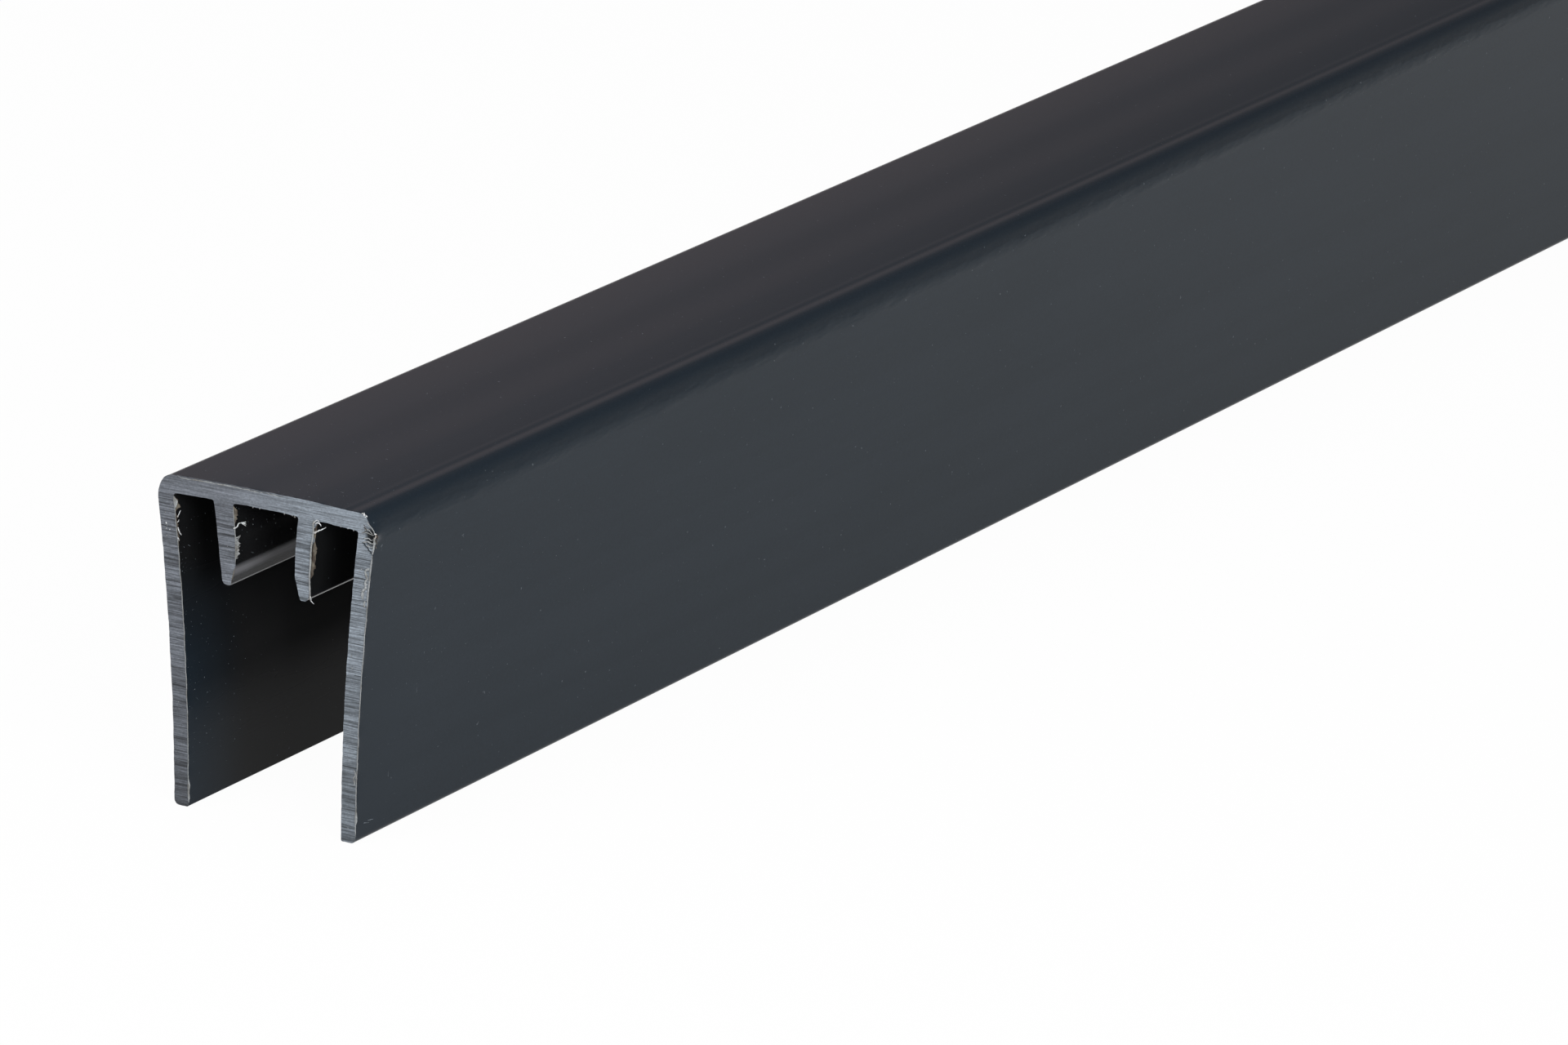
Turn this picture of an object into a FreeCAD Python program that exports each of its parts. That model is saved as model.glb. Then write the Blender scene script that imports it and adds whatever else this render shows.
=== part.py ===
"""Rigid PVC U-channel profile: a crowned web, two legs that lean in, and two gripping ribs.

The section lies in the XZ plane and is symmetric about X = 0.  The profile runs along Y and
stands on its leg tips, so the channel opens downwards.  The origin is midway along the length,
between the two legs, at the level of the leg tips.  All sizes are in millimetres.
"""
import FreeCAD, Part
import math
import os
from FreeCAD import Vector
import Sketcher

NODE = "u_channel_profile"

# every size that can be set by itself
SIZES = {
    # whole profile
    "profile_length": 1000.0,
    "overall_height": 29.8,
    # web, which is slightly crowned; the shoulder width is taken at the unrounded corners
    "shoulder_width": 22.5,
    "web_thickness": 1.6,
    "crown_radius": 205.0,
    # legs, which bow in gently and thin towards their tips
    "mouth_width": 15.7,
    "leg_tip_wall": 1.45,
    "leg_web_wall": 1.65,
    "leg_outer_bow_radius": 248.0,
    "leg_inner_bow_radius": 228.0,
    # ribs under the web, whose facing sides grip and end in a lead-in bevel
    "rib_depth": 7.45,
    "rib_gap": 6.1,
    "rib_root_gap": 6.75,
    "rib_root_thickness": 1.9,
    "rib_tip_thickness": 1.3,
    "rib_grip_radius": 30.0,
    "rib_bevel_height": 1.9,
    "rib_bevel_run": 0.5,
    # roundings
    "shoulder_radius": 1.65,
    "inside_corner_radius": 0.25,
    "leg_tip_radius": 0.45,
    "rib_tip_radius": 0.5,
    "bevel_blend_radius": 2.0,
    "edge_break_radius": 0.15,
}

ORIGIN_POINT = (-1, 1)  # the sketch's own origin, as (geometry, point)
X_AXIS_LINE = -1
UPRIGHT_AXIS_LINE = -2
START, END, CENTRE = 1, 2, 3
CORNER_TOLERANCE = 0.001


def write_sizes(document):
    """Put the driving dimensions in a sheet, one alias to a row."""
    sheet = document.addObject("Spreadsheet::Sheet", "Sizes")
    for row, (alias, value) in enumerate(SIZES.items(), start=1):
        sheet.set(f"A{row}", alias)
        sheet.set(f"B{row}", str(value))
        sheet.setAlias(f"B{row}", alias)
    document.recompute()
    return sheet


def height_on_arch(x, radius, crest):
    """Height at x of an arch centred on the upright axis, with its crest at the given height."""
    return crest - radius + math.sqrt(radius**2 - x**2)


def bulged_arc_centre(top, bottom, radius, side):
    """Centre of the arc between two points, on the side +1 (larger x) or -1 (smaller x)."""
    middle = (top + bottom) / 2
    chord = top - bottom
    offset = math.sqrt(radius**2 - (chord.Length / 2) ** 2)
    across = Vector(chord.y, -chord.x, 0).normalize()
    if across.x * side < 0:
        across = across * -1
    return middle + across * offset


def x_on_arc(centre, radius, height, side):
    """Where an upright arc, centred on the given side, stands at a height."""
    return centre.x - side * math.sqrt(radius**2 - (height - centre.y) ** 2)


def section_corners():
    """Corners of the right half of the section, before rounding, by name."""
    s = SIZES
    underside = s["overall_height"] - s["web_thickness"]
    underside_radius = s["crown_radius"] - s["web_thickness"]
    rib_tip = underside - s["rib_depth"]

    def on_crown(x):
        return Vector(x, height_on_arch(x, s["crown_radius"], s["overall_height"]), 0)

    def on_underside(x):
        return Vector(x, height_on_arch(x, underside_radius, underside), 0)

    shoulder = on_crown(s["shoulder_width"] / 2)
    leg_tip_inner = Vector(s["mouth_width"] / 2, 0, 0)
    leg_tip_outer = leg_tip_inner + Vector(s["leg_tip_wall"], 0, 0)
    leg_centre = bulged_arc_centre(shoulder, leg_tip_outer, s["leg_outer_bow_radius"], 1)
    leg_x = x_on_arc(leg_centre, s["leg_outer_bow_radius"], underside, 1)
    rib_root_inner_x = s["rib_root_gap"] / 2
    return {
        "crown": Vector(0, s["overall_height"], 0),
        "shoulder": shoulder,
        "leg_tip_outer": leg_tip_outer,
        "leg_tip_inner": leg_tip_inner,
        "inside_corner": on_underside(leg_x - s["leg_web_wall"]),
        "rib_root_outer": on_underside(rib_root_inner_x + s["rib_root_thickness"]),
        "rib_tip_outer": Vector(s["rib_gap"] / 2 + s["rib_tip_thickness"], rib_tip, 0),
        "rib_tip_inner": Vector(s["rib_gap"] / 2 + s["rib_bevel_run"], rib_tip, 0),
        "bevel_start": Vector(s["rib_gap"] / 2, rib_tip + s["rib_bevel_height"], 0),
        "rib_root_inner": on_underside(rib_root_inner_x),
        "underside": Vector(0, underside, 0),
    }


def arc_between(first, last, centre):
    """Short arc from one point to another about a centre, and whether it runs backwards."""
    first_angle = math.atan2(first.y - centre.y, first.x - centre.x)
    last_angle = math.atan2(last.y - centre.y, last.x - centre.x)
    circle = Part.Circle(centre, Vector(0, 0, 1), (first - centre).Length)
    turn = (last_angle - first_angle) % (2 * math.pi)
    if turn < math.pi:
        return Part.ArcOfCircle(circle, first_angle, last_angle), False
    return Part.ArcOfCircle(circle, last_angle, first_angle), True


class HalfSection:
    """The right half of the section as one closed, fully constrained outline."""

    def __init__(self, body):
        self.sketch = body.newObject("Sketcher::SketchObject", "HalfSection")
        self.sketch.AttachmentSupport = [(origin_plane(body, "XZ_Plane"), "")]
        self.sketch.MapMode = "FlatFace"
        self.corners = section_corners()
        self.starts = {}
        self.lines = {}

    def add_side(self, name, first, last, centre=None):
        """Add the side between two named corners: straight, or an arc about a centre."""
        if centre is None:
            side = Part.LineSegment(self.corners[first], self.corners[last])
            backwards = False
        else:
            side, backwards = arc_between(self.corners[first], self.corners[last], centre)
        index = self.sketch.addGeometry(side, False)
        self.lines[name] = index
        ends = (END, START) if backwards else (START, END)
        self.starts[first] = (index, ends[0])
        return index, ends

    def draw(self):
        """Draw the outline side by side, and join each side to the next."""
        s = SIZES
        c = self.corners
        crown_centre = Vector(0, s["overall_height"] - s["crown_radius"], 0)
        outer_bow = s["leg_outer_bow_radius"]
        inner_bow = s["leg_inner_bow_radius"]
        grip = s["rib_grip_radius"]
        outer_centre = bulged_arc_centre(c["shoulder"], c["leg_tip_outer"], outer_bow, 1)
        inner_centre = bulged_arc_centre(c["inside_corner"], c["leg_tip_inner"], inner_bow, 1)
        grip_centre = bulged_arc_centre(c["rib_root_inner"], c["bevel_start"], grip, 1)
        sides = [
            ("crown_face", "crown", "shoulder", crown_centre),
            ("leg_outer_face", "shoulder", "leg_tip_outer", outer_centre),
            ("leg_tip_face", "leg_tip_outer", "leg_tip_inner", None),
            ("leg_inner_face", "leg_tip_inner", "inside_corner", inner_centre),
            ("pocket_roof", "inside_corner", "rib_root_outer", crown_centre),
            ("rib_outer_face", "rib_root_outer", "rib_tip_outer", None),
            ("rib_tip_face", "rib_tip_outer", "rib_tip_inner", None),
            ("rib_bevel", "rib_tip_inner", "bevel_start", None),
            ("rib_grip_face", "bevel_start", "rib_root_inner", grip_centre),
            ("slot_roof", "rib_root_inner", "underside", crown_centre),
            ("middle_line", "underside", "crown", None),
        ]
        ends = [self.add_side(*side) for side in sides]
        for (index, points), (next_index, next_points) in zip(ends, ends[1:] + ends[:1]):
            joint = Sketcher.Constraint("Coincident", index, points[1], next_index, next_points[0])
            self.sketch.addConstraint(joint)

    def place(self, kind, *references):
        """Add a constraint that carries no size."""
        self.sketch.addConstraint(Sketcher.Constraint(kind, *references))

    def measure(self, name, formula, kind, *references):
        """Add a constraint whose size follows the sheet."""
        index = self.sketch.addConstraint(Sketcher.Constraint(kind, *references))
        self.sketch.renameConstraint(index, name)
        self.sketch.setExpression(f"Constraints.{name}", formula)

    def across(self, name, corner, formula):
        """Set how far a corner stands from the upright axis."""
        distance = self.corners[corner].x
        self.measure(name, formula, "DistanceX", *ORIGIN_POINT, *self.starts[corner], distance)

    def above(self, name, corner, formula):
        """Set how high a corner stands above the leg tips."""
        height = self.corners[corner].y
        self.measure(name, formula, "DistanceY", *ORIGIN_POINT, *self.starts[corner], height)

    def rounded(self, name, formula):
        """Set the radius of an arc side; its sketched value is the starting one."""
        radius = self.sketch.Geometry[self.lines[name]].Radius
        self.measure(f"{name}_radius", formula, "Radius", self.lines[name], radius)

    def constrain(self):
        """Tie every corner and radius to the sheet."""
        self.constrain_web()
        self.constrain_leg()
        self.constrain_rib()

    def constrain_web(self):
        crown_face = self.lines["crown_face"]
        self.place("PointOnObject", *self.starts["crown"], UPRIGHT_AXIS_LINE)
        self.place("PointOnObject", *self.starts["underside"], UPRIGHT_AXIS_LINE)
        self.place("PointOnObject", crown_face, CENTRE, UPRIGHT_AXIS_LINE)
        self.above("crown_height", "crown", "Sizes.overall_height")
        self.above("underside_height", "underside", "Sizes.overall_height - Sizes.web_thickness")
        self.rounded("crown_face", "Sizes.crown_radius")
        self.across("shoulder_reach", "shoulder", "Sizes.shoulder_width / 2")
        for roof in ("pocket_roof", "slot_roof"):
            self.place("Coincident", self.lines[roof], CENTRE, crown_face, CENTRE)
        self.place("Equal", self.lines["pocket_roof"], self.lines["slot_roof"])

    def constrain_leg(self):
        s = SIZES
        corner = self.corners["inside_corner"]
        gauge_end = corner + Vector(s["leg_web_wall"], 0, 0)
        gauge = self.sketch.addGeometry(Part.LineSegment(corner, gauge_end), True)
        self.place("PointOnObject", *self.starts["leg_tip_outer"], X_AXIS_LINE)
        self.place("PointOnObject", *self.starts["leg_tip_inner"], X_AXIS_LINE)
        self.across("mouth_reach", "leg_tip_inner", "Sizes.mouth_width / 2")
        self.across("tip_reach", "leg_tip_outer", "Sizes.mouth_width / 2 + Sizes.leg_tip_wall")
        self.place("Coincident", gauge, START, *self.starts["inside_corner"])
        self.place("PointOnObject", gauge, END, self.lines["leg_outer_face"])
        self.place("Horizontal", gauge)
        self.measure("web_wall", "Sizes.leg_web_wall", "DistanceX",
                     gauge, START, gauge, END, s["leg_web_wall"])
        self.rounded("leg_outer_face", "Sizes.leg_outer_bow_radius")
        self.rounded("leg_inner_face", "Sizes.leg_inner_bow_radius")

    def constrain_rib(self):
        root = "Sizes.rib_root_gap / 2"
        grip = "Sizes.rib_gap / 2"
        tip = "Sizes.overall_height - Sizes.web_thickness - Sizes.rib_depth"
        self.across("rib_root_inner_reach", "rib_root_inner", root)
        self.across("rib_root_outer_reach", "rib_root_outer", f"{root} + Sizes.rib_root_thickness")
        self.across("rib_tip_outer_reach", "rib_tip_outer", f"{grip} + Sizes.rib_tip_thickness")
        self.across("rib_tip_inner_reach", "rib_tip_inner", f"{grip} + Sizes.rib_bevel_run")
        self.across("rib_grip_reach", "bevel_start", grip)
        self.above("rib_tip_height", "rib_tip_outer", tip)
        self.above("rib_bevel_height", "bevel_start", f"{tip} + Sizes.rib_bevel_height")
        self.place("Horizontal", self.lines["rib_tip_face"])
        self.rounded("rib_grip_face", "Sizes.rib_grip_radius")

    def corner_point(self, corner):
        """Solved place of a corner, in the body's own frame."""
        flat = self.sketch.getPoint(*self.starts[corner])
        return self.sketch.Placement.multVec(flat)


def origin_plane(body, role):
    """The body's own origin plane with the given role."""
    for feature in body.Origin.OriginFeatures:
        if feature.Role == role:
            return feature
    raise RuntimeError(f"no origin plane {role}")


def long_edge_at(shape, point):
    """Name of the edge that runs the profile's length through a corner of the section."""
    for number, edge in enumerate(shape.Edges, start=1):
        first, last = (vertex.Point for vertex in edge.Vertexes[:2])
        runs_along = abs(first.y - last.y) > CORNER_TOLERANCE
        near_first = math.hypot(first.x - point.x, first.z - point.z) < CORNER_TOLERANCE
        near_last = math.hypot(last.x - point.x, last.z - point.z) < CORNER_TOLERANCE
        if runs_along and near_first and near_last:
            return f"Edge{number}"
    raise RuntimeError(f"no edge along the profile at {point}")


def round_corners(document, body, section):
    """Round the half profile's long edges, one feature for each radius."""
    roundings = [
        ("Shoulder", "shoulder_radius", ["shoulder"]),
        ("InsideCorners", "inside_corner_radius",
         ["inside_corner", "rib_root_outer", "rib_root_inner"]),
        ("LegTip", "leg_tip_radius", ["leg_tip_outer"]),
        ("RibTip", "rib_tip_radius", ["rib_tip_outer"]),
        ("BevelBlend", "bevel_blend_radius", ["bevel_start"]),
        ("EdgeBreaks", "edge_break_radius", ["leg_tip_inner", "rib_tip_inner"]),
    ]
    for name, radius, corners in roundings:
        base = body.Tip
        edges = [long_edge_at(base.Shape, section.corner_point(corner)) for corner in corners]
        fillet = body.newObject("PartDesign::Fillet", name)
        fillet.Base = (base, edges)
        fillet.setExpression("Radius", f"Sizes.{radius}")
        body.Tip = fillet
        document.recompute()


def build_profile(document):
    """Half section, extruded about its middle, rounded, then mirrored to the whole profile."""
    body = document.addObject("PartDesign::Body", "Profile")
    body.Label = NODE
    section = HalfSection(body)
    section.draw()
    section.constrain()
    document.recompute()

    half = body.newObject("PartDesign::Pad", "HalfProfile")
    half.Profile = section.sketch
    half.Midplane = True
    half.setExpression("Length", "Sizes.profile_length")
    body.Tip = half
    document.recompute()

    round_corners(document, body, section)

    whole = body.newObject("PartDesign::Mirrored", "WholeProfile")
    whole.TransformMode = "Whole shape"
    whole.MirrorPlane = (origin_plane(body, "YZ_Plane"), [""])
    body.Tip = whole
    document.recompute()
    body.Placement = FreeCAD.Placement()
    return body


def check_objects(document):
    """Stop if any object failed, even where nothing was raised."""
    for item in document.Objects:
        if "Invalid" in item.State or "Error" in item.State:
            raise RuntimeError(f"{item.Name} failed: {item.State}")


def write_part(body):
    """Check the finished solid and write it under its node name."""
    shape = body.Shape
    if shape.isNull() or not shape.isValid() or len(shape.Solids) != 1:
        raise RuntimeError(f"{body.Label} isn't one sound solid")
    os.makedirs("parts", exist_ok=True)
    shape.exportStep(os.path.join("parts", f"{body.Label}.step"))
    box = shape.optimalBoundingBox()
    print(f"{body.Label}: {box.XLength:.3f} x {box.YLength:.3f} x {box.ZLength:.3f} mm,"
          f" volume {shape.Volume / 1000:.2f} cm3, {len(shape.Faces)} faces")


def main():
    document = FreeCAD.newDocument("u_channel")
    write_sizes(document)
    body = build_profile(document)
    document.recompute()
    check_objects(document)
    write_part(body)


main()
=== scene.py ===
"""Looks of a dark PVC U-channel profile: satin extruded skin, sawn ends, burrs, a torn corner and dust.

Lengths are in millimetres up to the place where a mesh is made, which scales them to metres.
The section lies in the XZ plane and is written with complex numbers: x is real and z imaginary.
The outline runs clockwise, so the outside is always on the left of the way it runs.
"""

import cmath
import math
import random

import bpy
from mathutils import Matrix, Vector, noise
from mathutils.geometry import delaunay_2d_cdt


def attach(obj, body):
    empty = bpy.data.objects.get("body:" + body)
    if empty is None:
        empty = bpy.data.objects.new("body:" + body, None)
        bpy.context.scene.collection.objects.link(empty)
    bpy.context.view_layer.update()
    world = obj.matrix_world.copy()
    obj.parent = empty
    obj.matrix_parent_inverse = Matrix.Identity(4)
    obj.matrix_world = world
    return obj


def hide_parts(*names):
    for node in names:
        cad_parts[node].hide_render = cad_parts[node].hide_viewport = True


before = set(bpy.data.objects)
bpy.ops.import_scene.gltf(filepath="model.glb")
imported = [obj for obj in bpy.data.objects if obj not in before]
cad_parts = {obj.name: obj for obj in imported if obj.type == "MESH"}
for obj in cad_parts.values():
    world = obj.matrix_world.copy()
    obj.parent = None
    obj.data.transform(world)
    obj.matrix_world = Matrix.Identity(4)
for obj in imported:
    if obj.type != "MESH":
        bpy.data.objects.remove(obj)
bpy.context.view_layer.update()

MM = 0.001
NODE = "u_channel_profile"
BODY = "root"

# section, the same sizes as the solid model
LENGTH = 1000.0
HEIGHT = 29.8
SHOULDER_WIDTH = 22.5
WEB_THICKNESS = 1.6
CROWN_RADIUS = 205.0
MOUTH_WIDTH = 15.7
LEG_TIP_WALL = 1.45
LEG_WEB_WALL = 1.65
LEG_OUTER_BOW = 248.0
LEG_INNER_BOW = 228.0
RIB_DEPTH = 7.45
RIB_GAP = 6.1
RIB_ROOT_GAP = 6.75
RIB_ROOT_THICKNESS = 1.9
RIB_TIP_THICKNESS = 1.3
RIB_GRIP_RADIUS = 30.0
RIB_BEVEL_HEIGHT = 1.9
RIB_BEVEL_RUN = 0.5
SHOULDER_RADIUS = 1.65
INSIDE_CORNER_RADIUS = 0.25
LEG_TIP_RADIUS = 0.45
RIB_TIP_RADIUS = 0.5
BEVEL_BLEND_RADIUS = 2.0
EDGE_BREAK_RADIUS = 0.15

FRONT = -LENGTH / 2
BACK = LENGTH / 2
LEFT_TURN, RIGHT_TURN = 1, -1

# mesh fineness
OUTLINE_STEP = 0.11
CORNER_STEPS = 6
ROW_STEP = 0.055
COLUMN_STEP = 0.28
TORN_COLUMN_STEP = 0.09
TORN_ROWS_SHARE = 1.5
ROW_CLEARANCE = 0.045
SAME_POINT = 1e-5
SHARP_ANGLE = 50
SKIN_STATIONS = (0.0, 0.05, 0.12, 0.25, 0.45, 0.8, 1.4, 2.5, 5.0, 11.0, 24.0, 50.0, 95.0,
                 160.0, 250.0, 370.0, 500.0)

# how rough the sawn edges are
EDGE_FINE_PITCH = 0.3
EDGE_FINE_REACH = 0.02
EDGE_COARSE_PITCH = 1.3
EDGE_COARSE_REACH = 0.045
EDGE_FADE = 0.25
SAW_FINE_PITCH = 0.2
SAW_FINE_DEPTH = 0.010
SAW_BAND_PITCH = 0.9
SAW_BAND_DEPTH = 0.016
SAW_ALONG = 0.06

# seeds: one for each end, what the coarser waves add to it, and those of the torn corner
FRONT_SEED, BACK_SEED = 2.0, 40.0
EDGE_COARSE_SEED, SAW_BAND_SEED = 7, 5
TEAR_SEED, RIDGE_SEED, GRAIN_SEED, CRACK_SEED = 3, 11, 12, 21

# shallow valley along the crown, between the places where the ribs hold it up
VALLEY_DEPTH = 0.042
VALLEY_HALF_WIDTH = 4.4

# the shoulders, eased flatter than the solid's rounding and a little uneven along the length
EASE_DEPTH = 0.10
EASE_HEIGHT = 28.45
EASE_HALF_HEIGHT = 1.2
SHOULDER_WOBBLE = 0.14
WOBBLE_LOW, WOBBLE_HIGH, WOBBLE_BORDER = 26.9, 29.3, 0.6

# drawn lines on the crown beside the right shoulder: place, width of the near and far flank, and height
DRAWN_LINES = [(9.36, 0.88, 1.6, 0.045), (8.0, 0.5, 0.5, 0.009)]

# torn outer corner at the front: the outline is cut off between two points, above a pushed-out lip
TEAR_TOP = complex(10.34, 29.16)
TEAR_BOTTOM = complex(11.12, 27.95)
TEAR_LENGTH = 0.9
TEAR_ROUGHNESS = 0.5
TEAR_PITCH = 0.18
LIP_HEIGHT = 27.55
LIP_HALF_HEIGHT = 0.55
LIP_REACH = 0.3
HOLLOW_CENTRE = complex(10.56, 27.58)
HOLLOW_HALF_WIDTH = 0.75
HOLLOW_HALF_HEIGHT = 1.2
HOLLOW_DEPTH = 0.5
RIDGE_SHARE, RIDGE_ALONG, RIDGE_PITCH = 0.6, 2, 0.36
GRAIN_SHARE, GRAIN_ALONG, GRAIN_UP = 0.5, 5, 7
CRACK_START = complex(9.87, 26.95)
CRACK_END = complex(10.68, 26.18)
CRACK_HALF_WIDTH = 0.14
CRACK_SHARE = 0.8
CRACK_WANDER, CRACK_WAVES = 0.06, 3

# colours, linear
PVC_COLOUR = (0.0113, 0.0178, 0.0251)
PVC_LIGHTER = (0.0132, 0.0201, 0.0280)
PVC_ROUGHNESS = 0.19
PVC_SPECULAR = 0.077
# darker, greyer copy of the PVC colour for the faces inside the channel and on the ribs: painted shade
SHADED_INNER_COLOUR = (0.0085, 0.0090, 0.0096)
# painted fill light on the inner faces: a paler band at mid height, only well in from the front cut,
# lifts the shade there
INNER_PAINTED_FILL = (0.0265, 0.0268, 0.0280)
PAINTED_FILL_LEVELS = [(0.0, 0.0), (0.21, 0.0), (0.40, 1.0), (0.57, 1.0), (0.71, 0.0)]
PAINTED_FILL_FROM, PAINTED_FILL_FULL = 6.0, 14.0
INNER_ROUGHNESS = 0.26
INNER_SPECULAR = 0.050
RIB_ROUGHNESS = 0.20
RIB_SPECULAR = 0.42
# painted light near the front cut: how far in, and below which height, the inner faces take the outer
# skin's colour
PAINTED_LIGHT_DEPTH = 9.0
PAINTED_LIGHT_TOP = 22.0
PAINTED_LIGHT_FULL = 13.0
SAWN_LEFT = (0.120, 0.131, 0.150)
SAWN_RIGHT = (0.190, 0.218, 0.248)
SAWN_LEVELS = [(0.0, 0.56), (0.27, 0.74), (0.60, 0.92), (0.74, 0.92), (0.86, 0.88), (0.94, 1.0)]
# painted sheen in a band on the rib bevels and a painted highlight along the edge of the rib tips
RIB_SHEEN_COLOUR = (0.185, 0.185, 0.20)
RIB_SHEEN_LOWEST, RIB_SHEEN_HIGHEST = 20.6, 23.0
RIB_SHEEN_LEVELS = [(0.0, 0.9), (0.10, 0.6), (0.16, 0.0), (0.38, 0.1), (0.54, 0.7), (0.66, 0.75), (0.9, 0.0)]
# painted shade in the torn hollow and the crack below it, darkest where they are deepest
HOLLOW_SHADE_COLOUR = (0.020, 0.023, 0.026)
BURR_PALE = (0.62, 0.64, 0.65)
BURR_BROWN = (0.30, 0.25, 0.20)
BEAD_PALE = (0.30, 0.315, 0.32)
BEAD_DARK = (0.17, 0.165, 0.15)
# ragged burrs: their own brownish colour, darkened and patched dark brown as painted shade of burrs
# lying in shadow
SHADED_RAG_PALE = (0.16, 0.145, 0.115)
SHADED_RAG_DARK = (0.045, 0.034, 0.026)
DUST_PALE = (0.34, 0.40, 0.45)
DUST_DIM = (0.08, 0.095, 0.11)
FLOOR_COLOUR = (0.9, 0.9, 0.9)
FLOOR_GLOW = 0.97


class Side:
    """One side of the section: straight, or an arc that turns left or right as it goes."""

    def __init__(self, first, last, radius=None, turn=LEFT_TURN):
        chord = last - first
        self.first = first
        self.length = abs(chord)
        self.start_heading = chord / abs(chord)
        self.bend = 0.0
        if radius:
            half_turn = math.asin(abs(chord) / (2 * radius))
            self.length = 2 * radius * half_turn
            self.start_heading *= cmath.rect(1, -turn * half_turn)
            self.bend = turn / radius

    def heading(self, distance):
        return self.start_heading * cmath.rect(1, self.bend * distance)

    def at(self, distance):
        if not self.bend:
            return self.first + self.start_heading * distance
        turned = self.bend * distance
        chord = 2 * math.sin(turned / 2) / self.bend
        return self.first + self.start_heading * cmath.rect(chord, turned / 2)


def arch(x, radius, crest):
    """Point at x on an arch whose crest stands over x = 0."""
    return complex(x, crest - radius + math.sqrt(radius ** 2 - x ** 2))


def half_corners():
    """Right half of the section, from the crown round the leg and the rib to the middle.

    Each entry is a corner, its rounding, and the name, radius and turn of the side after it.
    """
    underside = HEIGHT - WEB_THICKNESS
    roof_radius = CROWN_RADIUS - WEB_THICKNESS
    rib_tip = underside - RIB_DEPTH
    grip_x = RIB_GAP / 2
    root_x = RIB_ROOT_GAP / 2
    shoulder = arch(SHOULDER_WIDTH / 2, CROWN_RADIUS, HEIGHT)
    leg_tip_inner = complex(MOUTH_WIDTH / 2, 0)
    leg_tip_outer = leg_tip_inner + LEG_TIP_WALL
    leg = Side(shoulder, leg_tip_outer, LEG_OUTER_BOW, LEFT_TURN)
    inside_x = leg.at(shoulder.imag - underside).real - LEG_WEB_WALL
    return [
        (complex(0, HEIGHT), 0, "crown", CROWN_RADIUS, RIGHT_TURN),
        (shoulder, SHOULDER_RADIUS, "leg_outer", LEG_OUTER_BOW, LEFT_TURN),
        (leg_tip_outer, LEG_TIP_RADIUS, "leg_tip", None, LEFT_TURN),
        (leg_tip_inner, EDGE_BREAK_RADIUS, "leg_inner", LEG_INNER_BOW, RIGHT_TURN),
        (arch(inside_x, roof_radius, underside), INSIDE_CORNER_RADIUS,
         "pocket_roof", roof_radius, LEFT_TURN),
        (arch(root_x + RIB_ROOT_THICKNESS, roof_radius, underside), INSIDE_CORNER_RADIUS,
         "rib_outer", None, LEFT_TURN),
        (complex(grip_x + RIB_TIP_THICKNESS, rib_tip), RIB_TIP_RADIUS, "rib_tip", None, LEFT_TURN),
        (complex(grip_x + RIB_BEVEL_RUN, rib_tip), EDGE_BREAK_RADIUS, "rib_bevel", None, LEFT_TURN),
        (complex(grip_x, rib_tip + RIB_BEVEL_HEIGHT), BEVEL_BLEND_RADIUS, "rib_grip",
         RIB_GRIP_RADIUS, RIGHT_TURN),
        (arch(root_x, roof_radius, underside), INSIDE_CORNER_RADIUS,
         "slot_roof", roof_radius, LEFT_TURN),
        (complex(0, underside), 0, None, None, LEFT_TURN),
    ]


def rounding(before, after, radius):
    """Smooth curve from one side to the next, with how much it takes off each of them."""
    turn = abs(cmath.phase(after.heading(0) / before.heading(before.length)))
    trim = radius * math.tan(turn / 2)
    handle = 4 / 3 * math.tan(turn / 4) * radius
    start, start_heading = before.at(before.length - trim), before.heading(before.length - trim)
    end, end_heading = after.at(trim), after.heading(trim)
    pulls = (start, start + handle * start_heading, end - handle * end_heading, end)
    swing = cmath.phase(end_heading / start_heading)
    steps = max(CORNER_STEPS, round(radius * turn / OUTLINE_STEP))
    points = []
    for step in range(1, steps):
        t = step / steps
        weights = ((1 - t) ** 3, 3 * t * (1 - t) ** 2, 3 * t ** 2 * (1 - t), t ** 3)
        point = sum(weight * pull for weight, pull in zip(weights, pulls))
        points.append((point, start_heading * cmath.rect(1, swing * t)))
    return trim, points


class Place:
    """One point of the section's outline, the way out of the material there, and its side's name."""

    def __init__(self, point, outward, side):
        self.point = point
        self.outward = outward
        self.side = side


def half_outline():
    corners, roundings, names, radii, turns = zip(*half_corners())
    sides = [Side(*side) for side in zip(corners, corners[1:], radii, turns)]
    curves = [(0.0, [])]
    for before, after, radius in zip(sides, sides[1:], roundings[1:]):
        curves.append(rounding(before, after, radius))
    curves.append((0.0, []))
    places = []
    for index, side in enumerate(sides):
        start = curves[index][0]
        run = side.length - start - curves[index + 1][0]
        steps = max(2, round(run / OUTLINE_STEP))
        for step in range(steps + 1):
            distance = start + run * step / steps
            places.append(Place(side.at(distance), side.heading(distance) * 1j, names[index]))
        for point, heading in curves[index + 1][1]:
            places.append(Place(point, heading * 1j, f"{names[index]}_end"))
    return places


def whole_outline():
    """The closed outline: the right half as R_ places, then its mirror image as L_ places."""
    right = half_outline()
    left = []
    for place in reversed(right[1:-1]):
        point, outward = -place.point.conjugate(), -place.outward.conjugate()
        left.append(Place(point, outward, f"L_{place.side}"))
    for place in right:
        place.side = f"R_{place.side}"
    return right + left


def fade(distance, length):
    """1 at no distance, easing to 0 at the given length and beyond."""
    t = min(1.0, max(0.0, abs(distance) / length))
    return (1 - t) ** 2 * (1 + 2 * t)


def wave(x, y, z):
    return noise.noise(Vector((x, y, z)))


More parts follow.
